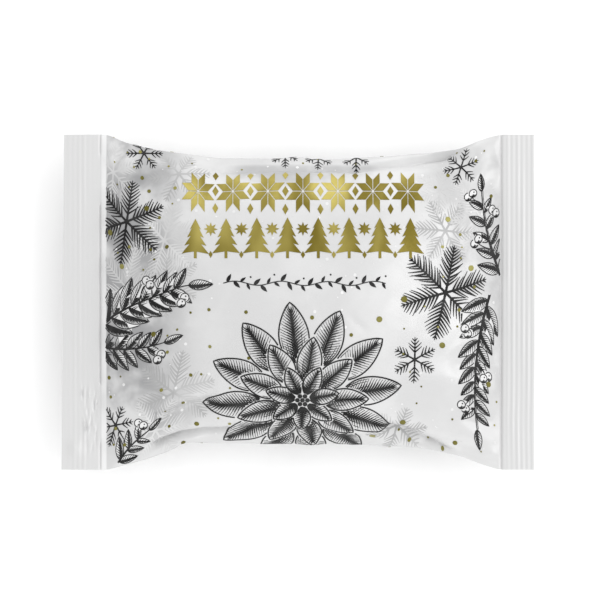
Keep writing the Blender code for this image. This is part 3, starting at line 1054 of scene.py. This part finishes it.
def gold_material(name, dark, pale):
    """Make the gold: washes of dark and pale gold that run across each other, with a foil's sheen."""
    material, nodes, links, shader = looks_of(name, 0.36, 0.55)
    place = nodes.new("ShaderNodeTexCoord").outputs["Object"]
    stretch = nodes.new("ShaderNodeMapping")
    stretch.inputs["Scale"].default_value = (1.0, 0.45, 0.6)
    links.new(place, stretch.inputs["Vector"])
    washes = spread(nodes, links, noise(nodes, links, stretch.outputs["Vector"], 110.0, 2.0, 0.5), 0.38, 0.68)
    links.new(blended(nodes, links, washes, dark, pale), shader.inputs["Base Color"])
    grain = noise(nodes, links, place, 1500.0, 2.0)
    links.new(spread(nodes, links, grain, 0.3, 0.7, 0.3, 0.42), shader.inputs["Roughness"])
    bump(nodes, links, shader, grain, 0.15, 0.00003)
    return material


FILM_WHITE = (0.6, 0.6, 0.6)
# Grey of the printed clouds, also used for the painted shade inside the top rim.
FILM_CLOUD_AND_SHADE = (0.295, 0.295, 0.3)
# Colour of the painted highlight by the left fold, lighter than the film's own white.
FILM_PAINTED_HIGHLIGHT = (0.72, 0.72, 0.72)
GOLD_DARK = (0.148, 0.113, 0.005)
GOLD_PALE = (0.435, 0.365, 0.095)
DOT_DARK = (0.1, 0.088, 0.006)
DOT_PALE = (0.27, 0.25, 0.075)


def plain_material(name, colour, roughness, metallic=0.0):
    material = bpy.data.materials.new(name)
    material.use_nodes = True
    shader = material.node_tree.nodes["Principled BSDF"]
    shader.inputs["Base Color"].default_value = (*colour, 1.0)
    shader.inputs["Roughness"].default_value = roughness
    shader.inputs["Metallic"].default_value = metallic
    return material


def make_floor():
    mesh = bpy.data.meshes.new("floor")
    reach = 3.0
    mesh.from_pydata([(-reach, -reach, 0), (reach, -reach, 0), (reach, reach, 0), (-reach, reach, 0)],
                     [], [(0, 1, 2, 3)])
    mesh.materials.append(plain_material("floor", (0.97, 0.97, 0.97), 0.8))
    floor = bpy.data.objects.new("floor", mesh)
    bpy.context.scene.collection.objects.link(floor)


def add_light(name, place, size, power, target=(0, 0, 0.01)):
    light = bpy.data.lights.new(name, "AREA")
    light.size = size
    light.energy = power
    lamp = bpy.data.objects.new(name, light)
    lamp.location = place
    lamp.rotation_euler = (Vector(target) - Vector(place)).to_track_quat("-Z", "Y").to_euler()
    bpy.context.scene.collection.objects.link(lamp)


def make_studio():
    """Light the packet from a pale room, a broad lamp at the right and two low ones along its edges."""
    world = bpy.data.worlds.new("studio")
    world.use_nodes = True
    nodes, links = world.node_tree.nodes, world.node_tree.links
    place = nodes.new("ShaderNodeTexCoord")
    facing = nodes.new("ShaderNodeVectorMath")
    facing.operation = "DOT_PRODUCT"
    facing.inputs[1].default_value = (0.6, 0.1, 0.79)
    links.new(place.outputs["Generated"], facing.inputs[0])
    links.new(spread(nodes, links, facing.outputs["Value"], -0.6, 0.9, 1.02, 1.11),
              nodes["Background"].inputs["Strength"])
    nodes["Background"].inputs["Color"].default_value = (1, 1, 1, 1)
    bpy.context.scene.world = world
    bpy.context.scene.view_settings.view_transform = "Standard"
    add_light("key", (0.95, 0.15, 1.0), 1.0, 4.8)
    add_light("far side", (0.0, 1.1, 0.4), 0.8, 2.0)
    add_light("near side", (0.0, -1.1, 0.4), 0.8, 1.7)


def make_camera():
    camera = bpy.data.objects.new("camera", bpy.data.cameras.new("camera"))
    camera.location = (-0.00056, 0.00143, 0.9)
    camera.data.lens = 36 * (0.9 - 0.013) / 0.12523
    camera.data.clip_start = 0.01
    bpy.context.scene.collection.objects.link(camera)
    bpy.context.scene.camera = camera


rows = ring_rows()
film_look = film_material()
film = make_film(rows, film_look)
make_fin(rows, film_look)
black_look = ink_material("black ink", (0.005, 0.005, 0.005), (0.025, 0.025, 0.025), 240.0, 0.5, 0.2)
looks = {"grey": ink_material("grey ink", (0.34, 0.34, 0.34), (0.46, 0.46, 0.46), 90.0, 0.45),
         "pale": ink_material("pale ink", (0.48, 0.48, 0.48), (0.6, 0.6, 0.6), 90.0, 0.45),
         "white": ink_material("white ink", (0.60, 0.60, 0.60), (0.71, 0.71, 0.71), 90.0, 0.45),
         "frost": black_look, "leaves": black_look, "flower": black_look,
         "gold": gold_material("gold print", GOLD_DARK, GOLD_PALE),
         "dots": gold_material("gold dots", DOT_DARK, DOT_PALE)}
for name, ink in print_packet(FilmMap(rows)).items():
    piece = ink.build("print_" + name, INK_LIFT[name], looks[name])
    print("line", name, len(piece.data.vertices), sum(len(f.vertices) - 2 for f in piece.data.polygons))
make_floor()
make_studio()
make_camera()
